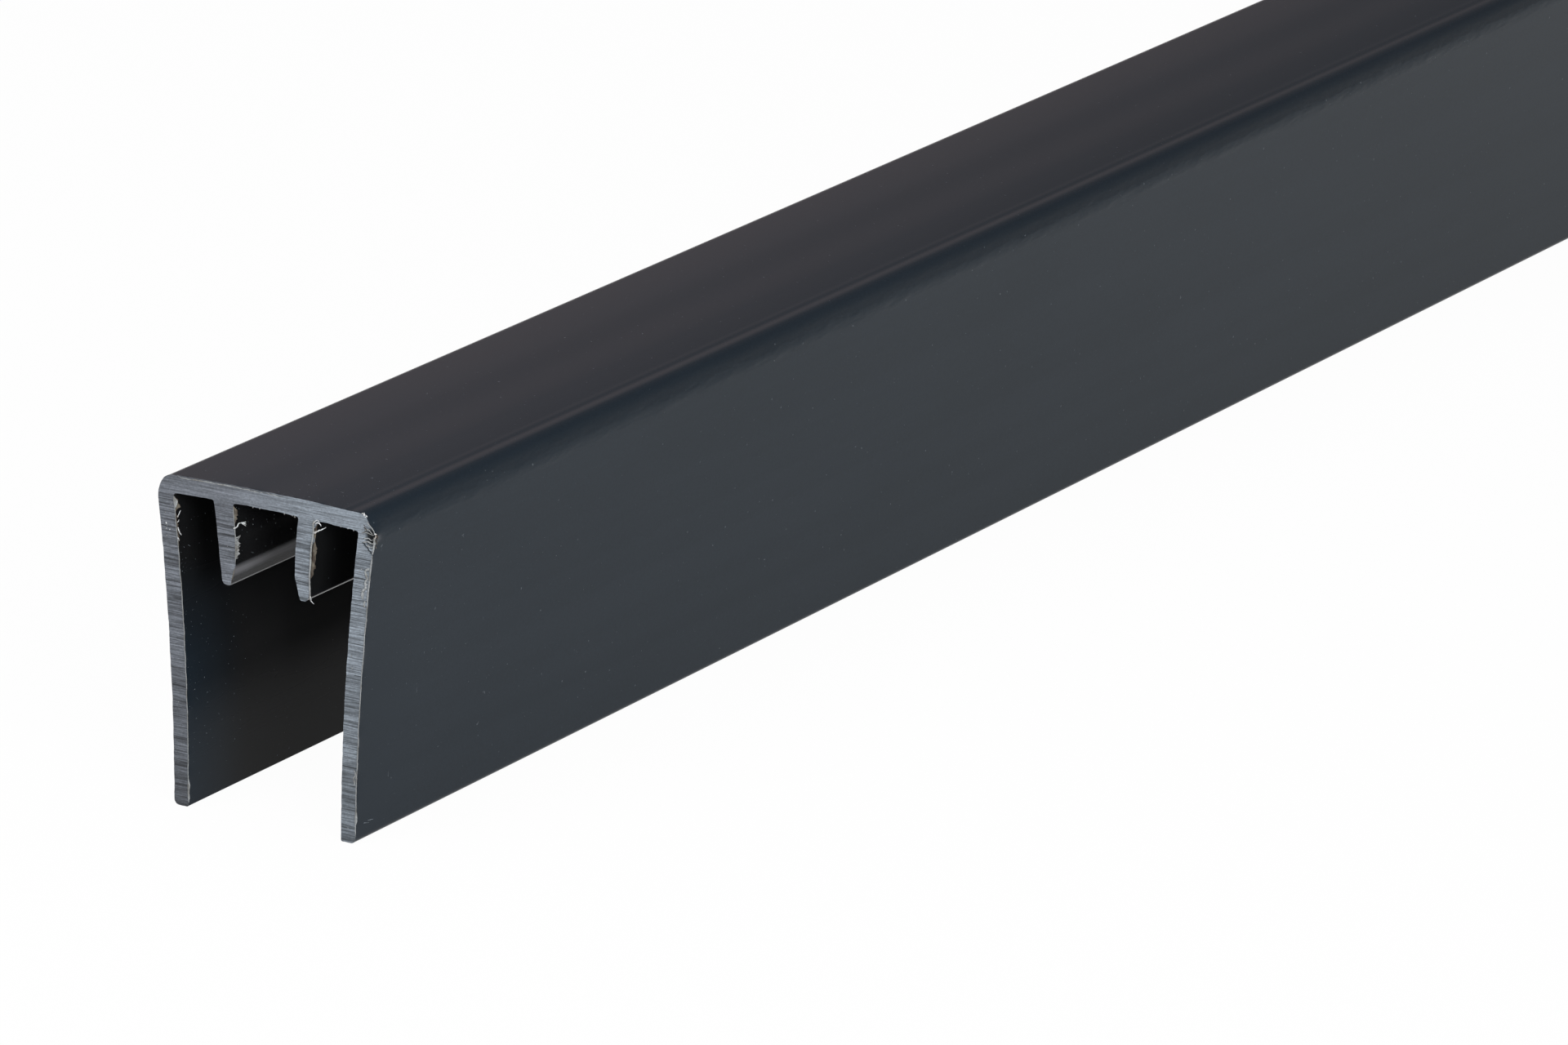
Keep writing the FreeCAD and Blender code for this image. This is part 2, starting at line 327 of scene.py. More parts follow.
def valley(place):
    """How far the crown has sunk between the ribs."""
    if not place.side.endswith("crown"):
        return 0.0
    return VALLEY_DEPTH * fade(place.point.real, VALLEY_HALF_WIDTH)


def ease(place):
    """How far the skin lies inside the solid's rounding at a shoulder."""
    if not place.side.endswith(("crown_end", "leg_outer")):
        return 0.0
    return EASE_DEPTH * fade(place.point.imag - EASE_HEIGHT, EASE_HALF_HEIGHT)


def drawn_line(place):
    """How far a drawn line stands out of the crown."""
    if not place.side.startswith("R_crown"):
        return 0.0
    height = 0.0
    for at, near, far, rise in DRAWN_LINES:
        beyond = place.point.real - at
        height += rise * fade(beyond, far if beyond > 0 else near)
    return height


def edge_reach(place, seed):
    """How far a sawn edge stands out of the true outline at a place."""
    x, z = place.point.real, place.point.imag
    fine = wave(x / EDGE_FINE_PITCH, z / EDGE_FINE_PITCH, seed) * EDGE_FINE_REACH
    coarse = wave(x / EDGE_COARSE_PITCH, z / EDGE_COARSE_PITCH, seed + EDGE_COARSE_SEED)
    return fine + coarse * EDGE_COARSE_REACH


def tear_shift(point):
    """Complex shift that cuts the corner off between the tear's two ends and pushes its lip out."""
    along = TEAR_BOTTOM - TEAR_TOP
    outward = along / abs(along) * 1j
    gap = ((point - TEAR_TOP) * outward.conjugate()).real
    shift = 0
    if gap > 0 and point.real > TEAR_TOP.real - HOLLOW_HALF_WIDTH:
        rough = TEAR_ROUGHNESS * wave(0, point.imag / TEAR_PITCH, TEAR_SEED)
        shift -= gap * (1 + rough) * outward
    if point.real > HOLLOW_CENTRE.real:
        shift += LIP_REACH * fade(point.imag - LIP_HEIGHT, LIP_HALF_HEIGHT)
    return shift


def skin_point(place, inset, seed, torn):
    """Where the skin runs at a distance in from a sawn end."""
    point = place.point + place.outward * (drawn_line(place) - valley(place) - ease(place))
    ragged = edge_reach(place, seed) * math.exp(-inset / EDGE_FADE)
    point += place.outward * ragged
    if torn:
        point += tear_shift(place.point) * fade(inset, TEAR_LENGTH)
    return point


def hollow(x, z):
    """1 in the middle of the torn hollow and of the crack below it, 0 outside them."""
    across = (x - HOLLOW_CENTRE.real) / HOLLOW_HALF_WIDTH
    up = (z - HOLLOW_CENTRE.imag) / HOLLOW_HALF_HEIGHT
    along = (complex(x, z) - CRACK_START) / (CRACK_END - CRACK_START)
    beyond = max(0.0, -along.real, along.real - 1)
    off = math.hypot(beyond, along.imag) * abs(CRACK_END - CRACK_START)
    off += CRACK_WANDER * wave(x * CRACK_WAVES, z * CRACK_WAVES, CRACK_SEED)
    return max(fade(math.hypot(across, up), 1.0), CRACK_SHARE * fade(off, CRACK_HALF_WIDTH))


def saw_depth(x, z, seed, torn):
    """How far the sawn face lies behind the end plane."""
    fine = wave(x * SAW_ALONG, z / SAW_FINE_PITCH, seed) * SAW_FINE_DEPTH
    band = wave(x * SAW_ALONG, z / SAW_BAND_PITCH, seed + SAW_BAND_SEED) * SAW_BAND_DEPTH
    depth = fine + band + SAW_FINE_DEPTH + SAW_BAND_DEPTH / 2
    if torn:
        ridges = 1 + RIDGE_SHARE * wave(x * RIDGE_ALONG, z / RIDGE_PITCH, RIDGE_SEED)
        ridges += GRAIN_SHARE * wave(x * GRAIN_ALONG, z * GRAIN_UP, GRAIN_SEED)
        depth += HOLLOW_DEPTH * hollow(x, z) * ridges
    return max(0.0, depth)


def crossings(loop, height):
    """Where a level line crosses the outline, from left to right."""
    found = []
    for first, last in zip(loop, loop[1:] + loop[:1]):
        if (first.imag > height) != (last.imag > height):
            t = (height - first.imag) / (last.imag - first.imag)
            found.append(first.real + t * (last.real - first.real))
    return sorted(found)


def face_grid(loop, torn):
    """Points in rows inside the outline, shifted row by row so that no columns show."""
    points = []
    rows = int(HEIGHT / ROW_STEP)
    for row in range(1, rows):
        height = row * ROW_STEP
        near_tear = abs(height - HOLLOW_CENTRE.imag) < HOLLOW_HALF_HEIGHT * TORN_ROWS_SHARE
        ends = crossings(loop, height)
        for left, right in zip(ends[::2], ends[1::2]):
            step = TORN_COLUMN_STEP if torn and near_tear and left > 0 else COLUMN_STEP
            width = right - left - 2 * ROW_CLEARANCE
            if width <= 0:
                continue
            columns = max(1, round(width / step))
            odd = row % 2
            for column in range(columns + 1 - odd):
                share = (column + odd / 2) / columns
                points.append(complex(left + ROW_CLEARANCE + width * share, height))
    return points


def sawn_face(loop, torn):
    """Triangles of one sawn end: the outline's points come first, then the points inside it."""
    inside = face_grid(loop, torn)
    flat = [Vector((point.real, point.imag)) for point in loop + inside]
    rim = list(range(len(loop)))
    points, _, triangles, origins, *_ = delaunay_2d_cdt(flat, [], [rim[::-1]], 1, SAME_POINT)
    name_of = {}
    extra = []
    for index, origin in enumerate(origins):
        if origin:
            name_of[index] = origin[0]
        else:
            name_of[index] = len(flat) + len(extra)
            extra.append(complex(*points[index]))
    faces = [tuple(name_of[corner] for corner in triangle) for triangle in triangles]
    return inside + extra, faces


def new_piece(name, vertices, faces, materials, face_slots=None):
    """A mesh object at the origin, from vertices in millimetres."""
    mesh = bpy.data.meshes.new(name)
    mesh.from_pydata([tuple(value * MM for value in vertex) for vertex in vertices], [], faces)
    for material in materials:
        mesh.materials.append(material)
    if face_slots:
        mesh.polygons.foreach_set("material_index", face_slots)
    piece = bpy.data.objects.new(name, mesh)
    bpy.context.scene.collection.objects.link(piece)
    mesh.polygons.foreach_set("use_smooth", [True] * len(mesh.polygons))
    mesh.validate()
    mesh.update()
    return piece


class Builder:
    """Gathers vertices, faces and each face's material."""

    def __init__(self):
        self.vertices = []
        self.faces = []
        self.slots = []

    def add_vertices(self, vertices):
        first = len(self.vertices)
        self.vertices.extend(vertices)
        return first

    def add_face(self, corners, slot):
        self.faces.append(tuple(corners))
        self.slots.append(slot)

    def add_bands(self, rings, slots):
        """Faces between each ring of vertices and the next, with a material for each place."""
        for first, second in zip(rings, rings[1:]):
            for index, slot in enumerate(slots):
                after = (index + 1) % len(slots)
                corners = (first + index, first + after, second + after, second + index)
                self.add_face(corners, slot)


def stations():
    """(y, distance in from the nearer end, whether that is the front) all along the profile."""
    front = [(FRONT + inset, inset, True) for inset in SKIN_STATIONS]
    back = [(BACK - inset, inset, False) for inset in reversed(SKIN_STATIONS[:-1])]
    return front + back


SKIN, SAWN, INNER, RIB = 0, 1, 2, 3
# mesh attribute that carries the painted shade of the torn hollow
HOLLOW_SHADE_ATTRIBUTE = "torn"
OUTER_SIDES = ("crown", "leg_outer", "leg_tip")
RIB_SIDES = ("rib_outer_end", "rib_tip", "rib_tip_end", "rib_bevel", "rib_bevel_end", "rib_grip")


def skin_slot(place):
    """Which material the skin has at a place of the outline."""
    side = place.side[2:]
    if side.removesuffix("_end") in OUTER_SIDES:
        return SKIN
    return RIB if side in RIB_SIDES else INNER


def profile(outline, materials):
    """The whole profile as one closed mesh: the swept skin and a sawn face at each end."""
    build = Builder()
    rings = []
    loops = []
    for y, inset, front in stations():
        seed = FRONT_SEED if front else BACK_SEED
        loop = [skin_point(place, inset, seed, front) for place in outline]
        loops.append(loop)
        rings.append(build.add_vertices([(point.real, y, point.imag) for point in loop]))
    count = len(outline)
    build.add_bands(rings, [skin_slot(place) for place in outline])
    hollow_shade = [0.0] * len(build.vertices)
    ends = [
        (FRONT, 1, rings[0], loops[0], FRONT_SEED, True),
        (BACK, -1, rings[-1], loops[-1], BACK_SEED, False),
    ]
    for y, inwards, rim, loop, seed, torn in ends:
        inside, triangles = sawn_face(loop, torn)
        points = [(p.real, y + inwards * saw_depth(p.real, p.imag, seed, torn), p.imag) for p in inside]
        first = build.add_vertices(points)
        # painted shade: the sawn face darkens as the torn hollow deepens
        hollow_shade.extend(hollow(p.real, p.imag) if torn else 0.0 for p in inside)
        for triangle in triangles:
            corners = [rim + c if c < count else first + c - count for c in triangle]
            build.add_face(corners if torn else corners[::-1], SAWN)
    piece = new_piece("pvc_profile", build.vertices, build.faces, materials, build.slots)
    attribute = piece.data.attributes.new(HOLLOW_SHADE_ATTRIBUTE, "FLOAT", "POINT")
    attribute.data.foreach_set("value", hollow_shade)
    piece.data.set_sharp_from_angle(angle=math.radians(SHARP_ANGLE))
    return piece


class Graph:
    """The node tree of a material or the world, with short ways to add nodes to it."""

    def __init__(self, tree):
        self.nodes = tree.nodes
        self.links = tree.links

    def fill(self, node, inputs):
        """Give inputs a plain number, vector or colour, or the output of another node."""
        for name, value in inputs.items():
            socket = node.inputs[name]
            if isinstance(value, bpy.types.NodeSocket):
                self.links.new(value, socket)
            elif socket.type == "RGBA":
                socket.default_value = (*value, 1.0)
            else:
                socket.default_value = value

    def add_node(self, kind, inputs=None, **settings):
        """The outputs of a new node."""
        node = self.nodes.new(f"ShaderNode{kind}")
        for name, value in settings.items():
            setattr(node, name, value)
        self.fill(node, inputs or {})
        return node.outputs

    def noise(self, scale, detail, roughness=0.5):
        """Noise over object coordinates, its scale given per millimetre for each axis."""
        place = self.add_node("TexCoord")["Object"]
        mapping = self.add_node("Mapping", {"Vector": place, "Scale": [value / MM for value in scale]})
        inputs = {"Vector": mapping["Vector"], "Scale": 1.0, "Detail": detail, "Roughness": roughness}
        return self.add_node("TexNoise", inputs)["Fac"]

    def span(self, value, low, high, to_low=0.0, to_high=1.0):
        """The value mapped from one range to another, and held inside it."""
        inputs = {"Value": value, "From Min": low, "From Max": high, "To Min": to_low, "To Max": to_high}
        return self.add_node("MapRange", inputs)["Result"]

    def axis(self, vector, name):
        return self.add_node("SeparateXYZ", {"Vector": vector})[name]

    def span_mm(self, axis, low, high, to_low=0.0, to_high=1.0):
        """The object coordinate along an axis, mapped from a range in millimetres."""
        place = self.axis(self.add_node("TexCoord")["Object"], axis)
        return self.span(place, low * MM, high * MM, to_low, to_high)

    def mix(self, factor, first, second, blend="MIX"):
        """Colour between two others."""
        inputs = {"Factor": factor, "A": first, "B": second}
        return self.add_node("Mix", inputs, data_type="RGBA", blend_type=blend)["Result"]

    def tint(self, colour, strength):
        """The colour times a strength."""
        return self.mix(1.0, colour, strength, "MULTIPLY")

    def ramp(self, value, stops):
        """Grey level that follows stops given as place and level."""
        ramp = self.nodes.new("ShaderNodeValToRGB")
        elements = ramp.color_ramp.elements
        while len(elements) < len(stops):
            elements.new(1.0)
        for element, (place, level) in zip(elements, stops):
            element.position = place
            element.color = (level, level, level, 1.0)
        self.fill(ramp, {"Fac": value})
        return ramp.outputs["Color"]

    def math(self, operation, first, *others):
        """The first value, with the operation done for each of the others in turn."""
        for other in others:
            first = self.add_node("Math", {0: first, 1: other}, operation=operation)["Value"]
        return first

    def add(self, *values):
        return self.math("ADD", *values)

    def times(self, *values):
        return self.math("MULTIPLY", *values)

    def bump(self, height, depth, before=None):
        """Bump of a given depth in millimetres, on top of an earlier one."""
        inputs = {"Height": height, "Strength": 1.0, "Distance": depth * MM}
        if before is not None:
            inputs["Normal"] = before
        return self.add_node("Bump", inputs)["Normal"]

    def finish(self, colour, roughness, normal, specular):
        """Feed the material's shader."""
        inputs = {"Base Color": colour, "Roughness": roughness, "Normal": normal}
        self.fill(self.nodes["Principled BSDF"], {**inputs, "Specular IOR Level": specular})


def new_material(name):
    material = bpy.data.materials.new(name)
    material.use_nodes = True
    return material, Graph(material.node_tree)


# noises in the materials: scale per millimetre along x, y and z, detail and roughness,
# and the ranges that they are mapped from and to
NOISE_MEAN = 0.5
NOISE_SPREAD = (0.3, 0.7)
WOBBLE_WAVES = ((0.45, 0.12, 0.45), 3.0, 0.75)
SKIN_STREAKS = ((0.5, 0.0015, 0.5), 2.0)
SKIN_CLOUD = ((0.12, 0.04, 0.12), 3.0)
SKIN_TONE = (0.75, 1.25)
SKIN_GRAIN = ((5.0, 4.0, 5.0), 2.0)
SKIN_MOTTLE = (0.93, 1.07)
SKIN_SPECKS = ((2.6, 2.6, 2.6), 1.0)
SPECK_SHARE = (0.77, 0.83)
SKIN_LINES = ((1.4, 0.004, 1.4), 2.0)
ROUGHNESS_SPREAD = 0.025
LINE_DEPTH = 0.0016
GRAIN_DEPTH = 0.0014


def painted_light_near_cut(graph, colour):
    """Painted light: low down near the front cut, where the key light reaches into the channel, the
    colour turns into that of the outer skin.
    """
    near = graph.span_mm("Y", FRONT + PAINTED_LIGHT_DEPTH, FRONT)
    low = graph.span_mm("Z", PAINTED_LIGHT_TOP, PAINTED_LIGHT_FULL)
    return graph.mix(graph.times(near, low), colour, PVC_COLOUR)


def painted_rib_sheen(graph, colour):
    """The colour, paler under the grip and along the rib tips: a painted sheen on the bevel and a
    painted highlight on the tips' edge.
    """
    height = graph.span_mm("Z", RIB_SHEEN_LOWEST, RIB_SHEEN_HIGHEST)
    return graph.mix(graph.ramp(height, RIB_SHEEN_LEVELS), colour, RIB_SHEEN_COLOUR)


def painted_fill_band(graph, colour):
    """The colour, paler in a band at mid height and only well in from the front cut: painted fill light
    that lifts the shade deep in the channel.
    """
    height = graph.span_mm("Z", 0.0, HEIGHT)
    deep = graph.span_mm("Y", FRONT + PAINTED_FILL_FROM, FRONT + PAINTED_FILL_FULL)
    share = graph.times(deep, graph.ramp(height, PAINTED_FILL_LEVELS))
    return graph.mix(share, colour, INNER_PAINTED_FILL)


def wobble(graph):
    """Slow unevenness of the shoulders: a height around zero that fades out at both edges."""
    above = graph.span_mm("Z", WOBBLE_LOW, WOBBLE_LOW + WOBBLE_BORDER)
    below = graph.span_mm("Z", WOBBLE_HIGH, WOBBLE_HIGH - WOBBLE_BORDER)
    waves = graph.math("SUBTRACT", graph.noise(*WOBBLE_WAVES), NOISE_MEAN)
    return graph.times(waves, above, below)


def skin_material(name, dark, light, roughness, specular, *extras):
    """Satin PVC: drawn streaks along the length, fine grain, faint pale specks, and extra tones passed
    in, which here paint light, shade and sheen.
    """
    material, graph = new_material(name)
    grain = graph.noise(*SKIN_GRAIN)
    tone = graph.add(graph.noise(*SKIN_STREAKS), graph.noise(*SKIN_CLOUD))
    tone = graph.span(tone, *SKIN_TONE)
    colour = graph.mix(tone, dark, light)
    colour = graph.tint(colour, graph.span(grain, *NOISE_SPREAD, *SKIN_MOTTLE))
    specks = graph.span(graph.noise(*SKIN_SPECKS), *SPECK_SHARE)
    colour = graph.mix(specks, colour, DUST_DIM)
    for extra in extras:
        colour = extra(graph, colour)
    rough = graph.span(tone, 0.0, 1.0, roughness - ROUGHNESS_SPREAD, roughness + ROUGHNESS_SPREAD)
    normal = graph.bump(graph.noise(*SKIN_LINES), LINE_DEPTH)
    normal = graph.bump(grain, GRAIN_DEPTH, normal)
    normal = graph.bump(wobble(graph), SHOULDER_WOBBLE, normal)
    graph.finish(colour, rough, normal, specular)
    return material


# sawn face: where its left and right tones end, where the web begins, and its noises and their ranges
SAWN_SIDES = (-4.0, 5.0)
WEB_BLEND = (27.0, 28.2)
WEB_CALM = (0.0, 0.45)
SCORE = ((0.20, 0.0, 7.0), 2.0, 0.8)
SCORE_LEVELS = (0.41, 0.59, 0.54, 1.46)
SCORE_ROUGHNESS = (0.5, 0.75)
SCORE_DEPTH = 0.012
CUTS = ((0.12, 0.0, 4.6), 1.0)
CUT_LEVELS = (0.36, 0.39, 0.42, 1.0)
BANDS = ((0.06, 0.0, 1.1), 2.0, 0.6)
BAND_LEVELS = (0.38, 0.54, 0.66, 1.06)
BLOTCHES = ((3.4, 3.4, 5.0), 3.0, 0.75)
BLOTCH_LEVELS = (0.32, 0.68, 0.74, 1.26)
GRIT = ((5.0, 5.0, 9.0), 2.0, 0.7)
GRIT_LEVELS = (0.52, 0.68, 0.0, 0.45)
GLINTS = ((0.09, 0.0, 7.0), 1.0)
GLINT_LEVELS = (0.62, 0.70, 0.0, 0.45)
HOLLOW_SHADE_SHARE = (0.15, 0.6)
DULL_SPECULAR = 0.3


def sawn_material():
    """Sawn PVC: pale and dull, scored by the blade in fine lines and wider dark bands."""
    material, graph = new_material("sawn_pvc")
    across = graph.span_mm("X", *SAWN_SIDES)
    colour = graph.mix(across, SAWN_LEFT, SAWN_RIGHT)
    height = graph.span_mm("Z", 0.0, HEIGHT)
    colour = graph.tint(colour, graph.ramp(height, SAWN_LEVELS))
    in_web = graph.span_mm("Z", *WEB_BLEND, *WEB_CALM)
    score = graph.noise(*SCORE)
    strength = graph.times(
        graph.span(score, *SCORE_LEVELS),
        graph.span(graph.noise(*BANDS), *BAND_LEVELS),
        graph.span(graph.noise(*CUTS), *CUT_LEVELS),
    )
    calm = graph.times(graph.math("SUBTRACT", 1.0, strength), in_web)
    blotches = graph.span(graph.noise(*BLOTCHES), *BLOTCH_LEVELS)
    strength = graph.times(graph.add(strength, calm), blotches)
    grit = graph.times(graph.span(graph.noise(*GRIT), *GRIT_LEVELS), graph.times(across, in_web))
    glints = graph.span(graph.noise(*GLINTS), *GLINT_LEVELS)
    colour = graph.tint(colour, graph.add(strength, grit, glints))
    # painted shade in the torn hollow and the crack, read from the mesh attribute
    torn = graph.add_node("Attribute", attribute_name=HOLLOW_SHADE_ATTRIBUTE)["Fac"]
    colour = graph.mix(graph.span(torn, *HOLLOW_SHADE_SHARE), colour, HOLLOW_SHADE_COLOUR)
    rough = graph.span(score, *NOISE_SPREAD, *SCORE_ROUGHNESS)
    graph.finish(colour, rough, graph.bump(score, SCORE_DEPTH), DULL_SPECULAR)
    return material


# shavings: noises, and what they make of tone, shade, roughness and relief
SHAVING_PATCHES = ((1.1, 1.1, 1.1), 3.0)
SHAVING_GRAIN = ((9.0, 9.0, 9.0), 2.0)
PATCH_BORDER = 0.12
SHAVING_SHADE = (0.7, 1.2)
SHAVING_ROUGHNESS = (0.45, 0.7)
SHAVING_DEPTH = 0.01


def shaving_material(name, pale, dark, balance):
    """Thin shavings and dust, pale in patches: the higher the balance, the more of them."""
    material, graph = new_material(name)
    grain = graph.noise(*SHAVING_GRAIN)
    patches = graph.noise(*SHAVING_PATCHES)
    share = graph.span(patches, balance - PATCH_BORDER, balance + PATCH_BORDER)
    colour = graph.mix(share, pale, dark)
    colour = graph.tint(colour, graph.span(grain, *NOISE_SPREAD, *SHAVING_SHADE))
    rough = graph.span(grain, *NOISE_SPREAD, *SHAVING_ROUGHNESS)
    graph.finish(colour, rough, graph.bump(grain, SHAVING_DEPTH), DULL_SPECULAR)
    return material


def floor_material():
    """White floor: the camera and reflections see it glowing, and it keeps a soft shadow."""
    material, graph = new_material("studio_floor")
    graph.nodes.remove(graph.nodes["Principled BSDF"])
    diffuse = graph.add_node("BsdfDiffuse", {"Color": FLOOR_COLOUR})["BSDF"]
    glow = graph.add_node("Emission", {"Strength": 1.0})["Emission"]
    path = graph.add_node("LightPath")
    seen = graph.add(*(path[f"Is {kind} Ray"] for kind in ("Camera", "Glossy", "Transmission")))
    share = graph.times(seen, FLOOR_GLOW)
    surface = graph.add_node("MixShader", {0: share, 1: diffuse, 2: glow})["Shader"]
    graph.fill(graph.nodes["Material Output"], {"Surface": surface})
    return material


PALE, BEAD, RAG = 0, 1, 2

# strips of burr
STRIP_TAPER = 4
STRIP_END = 0.08
STRIP_THICKNESS = 0.02
STRIP_STANDOFF = 0.01
STRIP_SHARES = (0.0, 0.5, 1.0)
STRIP_SEED_STEP = 3.1
RAG_PITCH = 0.09
RAG_COARSE, RAG_FINE, RAG_LEAST = 2.2, 1.4, 0.25

# hairs, threads and fins
PATH_STEPS = 4
WANDER_PER_MM = 5.0
WANDER_SHARE = 0.45
WANDER_SEED = 1
SWELL_SHARE = 0.5
WHISKER_SIDES = 5
WHISKER_AXIS = (0, 1, 0.3)

# chips and crumbs: the ranges are shares of the radius
CHIP_SIDES = 6
CHIP_AXIS = (0.3, 1, 0.2)
CHIP_SINK = 0.3
CHIP_SPREAD = (0.6, 1.2)
CHIP_RISE = (0.3, 0.6)


def smooth_path(points, wander):
    """Points of a smooth curve through the given ones, each moved a little."""
    padded = [2 * points[0] - points[1], *points, 2 * points[-1] - points[-2]]
    path = []
    for p, q, r, s in zip(padded, padded[1:], padded[2:], padded[3:]):
        for step in range(PATH_STEPS):
            t = step / PATH_STEPS
            bend = (2 * p - 5 * q + 4 * r - s) * t ** 2
            twist = (3 * q - p - 3 * r + s) * t ** 3
            path.append(q + ((r - p) * t + bend + twist) / 2)
    path.append(points[-1])
    return [point + wander * noise.noise_vector(point * WANDER_PER_MM) for point in path]


class Scraps(Builder):
    """Small loose bits at the sawn end: strips, whiskers and crumbs."""

    def strip(self, places, root, reach, lift, pitch, ragged, slot, seed):
        """Thin sheet along a sawn edge, from its root on the sawn face to its reach outside."""
        rows = []
        last = len(places) - 1
        for index, place in enumerate(places):
            x, z = place.point.real, place.point.imag
            rag = RAG_COARSE * abs(wave(x / pitch, z / pitch, seed))
            rag += RAG_FINE * abs(wave(x / RAG_PITCH, z / RAG_PITCH, seed))
            ends = max(STRIP_END, min(1.0, index / STRIP_TAPER, (last - index) / STRIP_TAPER))
            size = ends * (1 + ragged * (rag + RAG_LEAST - 1))
            base = skin_point(place, 0.0, FRONT_SEED, True)
            points = []
            for share in STRIP_SHARES:
                point = base + place.outward * (reach * size * share - root * ends * (1 - share))
                y = FRONT - STRIP_STANDOFF - lift * size * share ** 2
                points.append((point.real, y, point.imag))
            rows.append(self.add_vertices(points))
        for row, after in zip(rows, rows[1:]):
            for column in range(len(STRIP_SHARES) - 1):
                here, there = row + column, after + column
                self.add_face((here, there, there + 1, here + 1), slot)

    def whisker(self, radius, path, taper=0.75, deep=1.0, slot=PALE):
        """Hair or fin through points given as x, z and how far it stands in front of the end."""
        points = [Vector((x, FRONT - lift, z)) for x, z, lift in path]
        points = smooth_path(points, radius * WANDER_SHARE)
        rings = []
        for index, point in enumerate(points):
            before = points[max(0, index - 1)]
            after = points[min(len(points) - 1, index + 1)]
            run = (after - before).normalized()
            across = run.cross(Vector(WHISKER_AXIS)).normalized()
            other = run.cross(across)
            swell = 1 + SWELL_SHARE * wave(*(point * WANDER_PER_MM))
            size = radius * (1 - taper * index / (len(points) - 1)) * swell
            ring = []
            for corner in range(WHISKER_SIDES):
                angle = math.tau * corner / WHISKER_SIDES
                aside = across * (math.cos(angle) * size)
                ring.append(tuple(point + (aside + other * (math.sin(angle) * size * deep))))
            rings.append(self.add_vertices(ring))
        self.add_bands(rings, [slot] * WHISKER_SIDES)
        self.add_face([rings[0] + corner for corner in reversed(range(WHISKER_SIDES))], slot)
        self.add_face([rings[-1] + corner for corner in range(WHISKER_SIDES)], slot)

    def chip(self, centre, outward, radius, chance, stretch, slot=PALE):
        """Irregular low crumb that lies on a surface."""
        normal = Vector(outward).normalized()
        across = normal.cross(Vector(CHIP_AXIS)).normalized()
        other = normal.cross(across)
        foot = Vector(centre) - normal * radius * CHIP_SINK
        spin = chance.uniform(0, math.tau)
        ring = []
        for corner in range(CHIP_SIDES):
            angle = math.tau * corner / CHIP_SIDES
            size = radius * chance.uniform(*CHIP_SPREAD)
            point = complex(math.cos(angle) * size * stretch, math.sin(angle) * size)
            turned = point * cmath.rect(1, spin)
            ring.append(tuple(foot + across * turned.real + other * turned.imag))
        rim = self.add_vertices(ring)
        peak = Vector(centre) + normal * radius * chance.uniform(*CHIP_RISE)
        top = self.add_vertices([tuple(peak)])
        for corner in range(CHIP_SIDES):
            self.add_face((rim + corner, rim + (corner + 1) % CHIP_SIDES, top), slot)
        self.add_face([rim + corner for corner in reversed(range(CHIP_SIDES))], slot)


# strips along sawn edges: side, lowest and highest point, root, reach, lift, pitch of the rags,
# raggedness and material
EDGE_STRIPS = [
    ("R_leg_outer", 0.6, 26.3, 0.05, 0.06, 0.04, 0.9, 0.6, BEAD),
    ("R_leg_outer", 1.5, 3.1, 0.08, 0.20, 0.06, 0.6, 0.4, BEAD),
    ("R_leg_outer", 21.6, 25.9, 0.12, 0.07, 0.08, 0.7, 0.5, BEAD),
    ("L_leg_inner", 0.4, 27.9, 0.06, 0.05, 0.05, 0.9, 0.4, BEAD),
    ("L_leg_inner", 0.3, 2.6, 0.08, 0.16, 0.08, 0.8, 0.4, BEAD),
    ("L_leg_inner", 26.6, 27.95, 0.10, 0.40, 0.05, 1.6, 0.3, BEAD),
    ("L_leg_inner", 23.2, 26.4, 0.0, 0.22, 0.02, 0.45, 1.0, RAG),
    ("L_leg_inner", 26.2, 27.9, -0.05, 0.34, -0.1, 0.35, 0.7, RAG),
    ("L_rib_grip", 22.7, 28.0, 0.06, 0.04, 0.04, 0.7, 0.4, BEAD),
    ("L_rib_grip", 26.3, 28.0, 0.0, 0.36, 0.02, 0.5, 0.8, RAG),
    ("L_rib_grip", 23.2, 25.3, 0.0, 0.36, 0.10, 0.30, 0.7, BEAD),
    ("L_rib_bevel", 20.9, 22.6, 0.03, 0.05, 0.03, 0.6, 0.4, RAG),
    ("R_rib_outer", 22.8, 26.3, 0.20, 0.24, -0.05, 0.5, 0.7, RAG),
    ("R_rib_outer", 26.3, 27.9, 0.20, 0.05, 0.0, 0.5, 0.7, RAG),
    ("R_crown", 29.79, 29.81, 0.20, -0.12, 0.01, 0.8, 0.5, BEAD),
    ("L_crown", 29.60, 29.81, 0.20, -0.12, 0.01, 0.8, 0.5, BEAD),
]

